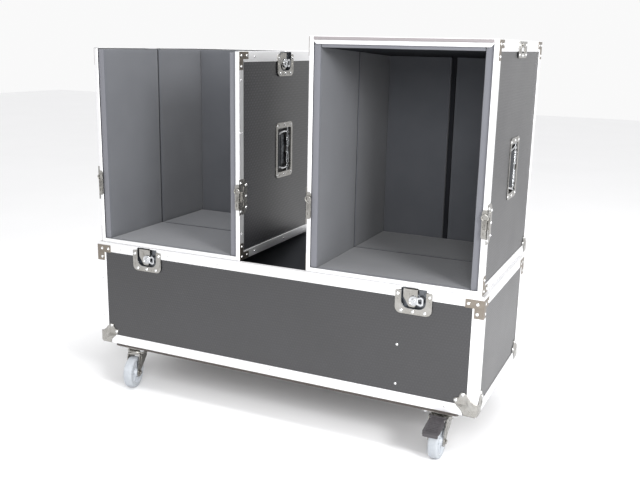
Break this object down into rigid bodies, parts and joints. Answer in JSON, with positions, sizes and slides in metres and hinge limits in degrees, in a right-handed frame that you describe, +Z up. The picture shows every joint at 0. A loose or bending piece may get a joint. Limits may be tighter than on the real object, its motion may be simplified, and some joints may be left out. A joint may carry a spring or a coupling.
{
  "type": "loudspeaker flight case",
  "caption": "Wheeled plywood flight case: an open tray on casters with two lift-off foam-lined hoods stood on end on its rim.",
  "frame": {"origin": "on the floor under the middle of the overall box", "axes": "+X along the tray's length to the viewer's right, -Y to the front where the hoods open, +Z up"},
  "size_m": [1.256, 0.6496, 1.1253],
  "materials": {
    "panel_laminate": "dark grey laminate with a fine embossed pattern on plywood",
    "aluminium_angle": "satin anodised extrusion",
    "zinc_steel": "bright zinc plate",
    "foam_lining": "charcoal foam sheet",
    "base_board": "brown-black film-faced plywood",
    "caster_rubber": "blue-grey elastic rubber",
    "black_rubber": "moulded black rubber grip",
    "pedal_plastic": "moulded dark grey plastic"
  },
  "bodies": {
    "tray": {"tray_shell": "panel_laminate", "tray_rim_frame": "aluminium_angle", "tray_edge_frame": "aluminium_angle", "tray_lining": "foam_lining", "base_board": "base_board", "tray_divider": "panel_laminate", "latch_front_left_dish": "zinc_steel", "latch_front_right_dish": "zinc_steel", "latch_back_left_dish": "zinc_steel", "latch_back_right_dish": "zinc_steel", "caster_front_left_plate": "zinc_steel", "caster_front_right_plate": "zinc_steel", "caster_back_left_plate": "zinc_steel", "caster_back_right_plate": "zinc_steel"},
    "latch_front_left_key": {"latch_front_left_key": "zinc_steel"},
    "latch_front_left_hook": {"latch_front_left_hook": "zinc_steel"},
    "latch_front_right_key": {"latch_front_right_key": "zinc_steel"},
    "latch_front_right_hook": {"latch_front_right_hook": "zinc_steel"},
    "latch_back_left_key": {"latch_back_left_key": "zinc_steel"},
    "latch_back_left_hook": {"latch_back_left_hook": "zinc_steel"},
    "latch_back_right_key": {"latch_back_right_key": "zinc_steel"},
    "latch_back_right_hook": {"latch_back_right_hook": "zinc_steel"},
    "caster_front_left_swivel": {"caster_front_left_fork": "zinc_steel"},
    "caster_front_left_wheel": {"caster_front_left_wheel": "caster_rubber"},
    "caster_front_right_swivel": {"caster_front_right_fork": "zinc_steel"},
    "caster_front_right_wheel": {"caster_front_right_wheel": "caster_rubber"},
    "caster_front_right_brake_pedal": {"caster_front_right_brake_pedal": "pedal_plastic"},
    "caster_back_left_swivel": {"caster_back_left_fork": "zinc_steel"},
    "caster_back_left_wheel": {"caster_back_left_wheel": "caster_rubber"},
    "caster_back_right_swivel": {"caster_back_right_fork": "zinc_steel"},
    "caster_back_right_wheel": {"caster_back_right_wheel": "caster_rubber"},
    "caster_back_right_brake_pedal": {"caster_back_right_brake_pedal": "pedal_plastic"},
    "hood_left": {"hood_left_frame": "aluminium_angle", "hood_left_shell": "panel_laminate", "hood_left_lining": "foam_lining", "hood_left_lining_left": "foam_lining", "hood_left_lining_right": "foam_lining", "hood_left_handle_left_dish": "zinc_steel", "hood_left_rim_catch_left": "zinc_steel", "hood_left_latch_left_dish": "zinc_steel", "hood_left_handle_right_dish": "zinc_steel", "hood_left_rim_catch_right": "zinc_steel", "hood_left_latch_right_dish": "zinc_steel"},
    "hood_left_handle_left_grip": {"hood_left_handle_left_grip": "black_rubber"},
    "hood_left_latch_left_key": {"hood_left_latch_left_key": "zinc_steel"},
    "hood_left_latch_left_hook": {"hood_left_latch_left_hook": "zinc_steel"},
    "hood_left_handle_right_grip": {"hood_left_handle_right_grip": "black_rubber"},
    "hood_left_latch_right_key": {"hood_left_latch_right_key": "zinc_steel"},
    "hood_left_latch_right_hook": {"hood_left_latch_right_hook": "zinc_steel"},
    "hood_right": {"hood_right_frame": "aluminium_angle", "hood_right_shell": "panel_laminate", "hood_right_lining": "foam_lining", "hood_right_handle_left_dish": "zinc_steel", "hood_right_rim_catch_left": "zinc_steel", "hood_right_keeper_left": "zinc_steel", "hood_right_handle_right_dish": "zinc_steel", "hood_right_rim_catch_right": "zinc_steel", "hood_right_keeper_right": "zinc_steel"},
    "hood_right_handle_left_grip": {"hood_right_handle_left_grip": "black_rubber"},
    "hood_right_handle_right_grip": {"hood_right_handle_right_grip": "black_rubber"}
  },
  "joints": [
    {"name": "latch_front_left_turn", "type": "hinge", "parent": "tray", "child": "latch_front_left_key", "pos_m": [-0.435, -0.255, 0.442], "axis": [0, -1, 0], "range_deg": [0, 180]},
    {"name": "latch_front_left_draw", "type": "slide", "parent": "tray", "child": "latch_front_left_hook", "axis": [0, 0, 1], "range_m": [0, 0.009]},
    {"name": "latch_front_right_turn", "type": "hinge", "parent": "tray", "child": "latch_front_right_key", "pos_m": [0.435, -0.255, 0.442], "axis": [0, -1, 0], "range_deg": [0, 180]},
    {"name": "latch_front_right_draw", "type": "slide", "parent": "tray", "child": "latch_front_right_hook", "axis": [0, 0, 1], "range_m": [0, 0.009]},
    {"name": "latch_back_left_turn", "type": "hinge", "parent": "tray", "child": "latch_back_left_key", "pos_m": [-0.435, 0.255, 0.442], "axis": [0, 1, 0], "range_deg": [0, 80]},
    {"name": "latch_back_left_draw", "type": "slide", "parent": "tray", "child": "latch_back_left_hook", "axis": [0, 0, 1], "range_m": [0, 0.004]},
    {"name": "latch_back_right_turn", "type": "hinge", "parent": "tray", "child": "latch_back_right_key", "pos_m": [0.435, 0.255, 0.442], "axis": [0, 1, 0], "range_deg": [0, 80]},
    {"name": "latch_back_right_draw", "type": "slide", "parent": "tray", "child": "latch_back_right_hook", "axis": [0, 0, 1], "range_m": [0, 0.004]},
    {"name": "caster_front_left_turn", "type": "hinge", "parent": "tray", "child": "caster_front_left_swivel", "pos_m": [-0.52, -0.205, 0.11], "axis": [0, 0, 1], "continuous": true},
    {"name": "caster_front_left_roll", "type": "hinge", "parent": "caster_front_left_swivel", "child": "caster_front_left_wheel", "pos_m": [-0.511, -0.24397, 0.05], "axis": [0.9744, 0.225, 0], "continuous": true},
    {"name": "caster_front_right_turn", "type": "hinge", "parent": "tray", "child": "caster_front_right_swivel", "pos_m": [0.52, -0.205, 0.11], "axis": [0, 0, 1], "continuous": true},
    {"name": "caster_front_right_roll", "type": "hinge", "parent": "caster_front_right_swivel", "child": "caster_front_right_wheel", "pos_m": [0.52, -0.245, 0.05], "axis": [1, 0, 0], "continuous": true},
    {"name": "caster_front_right_brake", "type": "hinge", "parent": "caster_front_right_swivel", "child": "caster_front_right_brake_pedal", "pos_m": [0.52, -0.247, 0.118], "axis": [1, 0, 0], "range_deg": [0, 12]},
    {"name": "caster_back_left_turn", "type": "hinge", "parent": "tray", "child": "caster_back_left_swivel", "pos_m": [-0.52, 0.205, 0.11], "axis": [0, 0, 1], "continuous": true},
    {"name": "caster_back_left_roll", "type": "hinge", "parent": "caster_back_left_swivel", "child": "caster_back_left_wheel", "pos_m": [-0.50632, 0.24259, 0.05], "axis": [-0.9397, 0.342, 0], "continuous": true},
    {"name": "caster_back_right_turn", "type": "hinge", "parent": "tray", "child": "caster_back_right_swivel", "pos_m": [0.52, 0.205, 0.11], "axis": [0, 0, 1], "continuous": true},
    {"name": "caster_back_right_roll", "type": "hinge", "parent": "caster_back_right_swivel", "child": "caster_back_right_wheel", "pos_m": [0.52, 0.245, 0.05], "axis": [-1, 0, 0], "continuous": true},
    {"name": "caster_back_right_brake", "type": "hinge", "parent": "caster_back_right_swivel", "child": "caster_back_right_brake_pedal", "pos_m": [0.52, 0.247, 0.118], "axis": [-1, 0, 0], "range_deg": [0, 12]},
    {"name": "hood_left_lift", "type": "slide", "parent": "tray", "child": "hood_left", "axis": [0, 0, 1], "range_m": [0, 0.35]},
    {"name": "hood_left_handle_left_swing", "type": "hinge", "parent": "hood_left", "child": "hood_left_handle_left_grip", "pos_m": [-0.6055, 0.003, 0.7783], "axis": [0, 0, 1], "range_deg": [0, 90], "stiffness_Nm_per_rad": 0.4, "springref_deg": -14.32},
    {"name": "hood_left_latch_left_turn", "type": "hinge", "parent": "hood_left", "child": "hood_left_latch_left_key", "pos_m": [-0.612, 0.033, 1.0453], "axis": [-1, 0, 0], "range_deg": [0, 180]},
    {"name": "hood_left_latch_left_draw", "type": "slide", "parent": "hood_left", "child": "hood_left_latch_left_hook", "axis": [0, 0, 1], "range_m": [0, 0.009]},
    {"name": "hood_left_handle_right_swing", "type": "hinge", "parent": "hood_left", "child": "hood_left_handle_right_grip", "pos_m": [-0.1125, 0.063, 0.7783], "axis": [0, 0, 1], "range_deg": [0, 90], "stiffness_Nm_per_rad": 0.4, "springref_deg": -14.32},
    {"name": "hood_left_latch_right_turn", "type": "hinge", "parent": "hood_left", "child": "hood_left_latch_right_key", "pos_m": [-0.106, 0.033, 1.0453], "axis": [1, 0, 0], "range_deg": [0, 180]},
    {"name": "hood_left_latch_right_draw", "type": "slide", "parent": "hood_left", "child": "hood_left_latch_right_hook", "axis": [0, 0, 1], "range_m": [0, 0.009]},
    {"name": "hood_right_lift", "type": "slide", "parent": "tray", "child": "hood_right", "axis": [0, 0, 1], "range_m": [0, 0.35]},
    {"name": "hood_right_handle_left_swing", "type": "hinge", "parent": "hood_right", "child": "hood_right_handle_left_grip", "pos_m": [0.1165, 0.003, 0.7783], "axis": [0, 0, 1], "range_deg": [0, 90], "stiffness_Nm_per_rad": 0.4, "springref_deg": -14.32},
    {"name": "hood_right_handle_right_swing", "type": "hinge", "parent": "hood_right", "child": "hood_right_handle_right_grip", "pos_m": [0.6095, 0.063, 0.7783], "axis": [0, 0, 1], "range_deg": [0, 90], "stiffness_Nm_per_rad": 0.4, "springref_deg": -14.32}
  ],
  "couplings": [
    {"joint": "latch_front_left_draw", "follows": "latch_front_left_turn", "m_per_rad": 0.0028648},
    {"joint": "latch_front_right_draw", "follows": "latch_front_right_turn", "m_per_rad": 0.0028648},
    {"joint": "latch_back_left_draw", "follows": "latch_back_left_turn", "m_per_rad": 0.0028648},
    {"joint": "latch_back_right_draw", "follows": "latch_back_right_turn", "m_per_rad": 0.0028648},
    {"joint": "hood_left_latch_left_draw", "follows": "hood_left_latch_left_turn", "m_per_rad": 0.0028648},
    {"joint": "hood_left_latch_right_draw", "follows": "hood_left_latch_right_turn", "m_per_rad": 0.0028648}
  ]
}
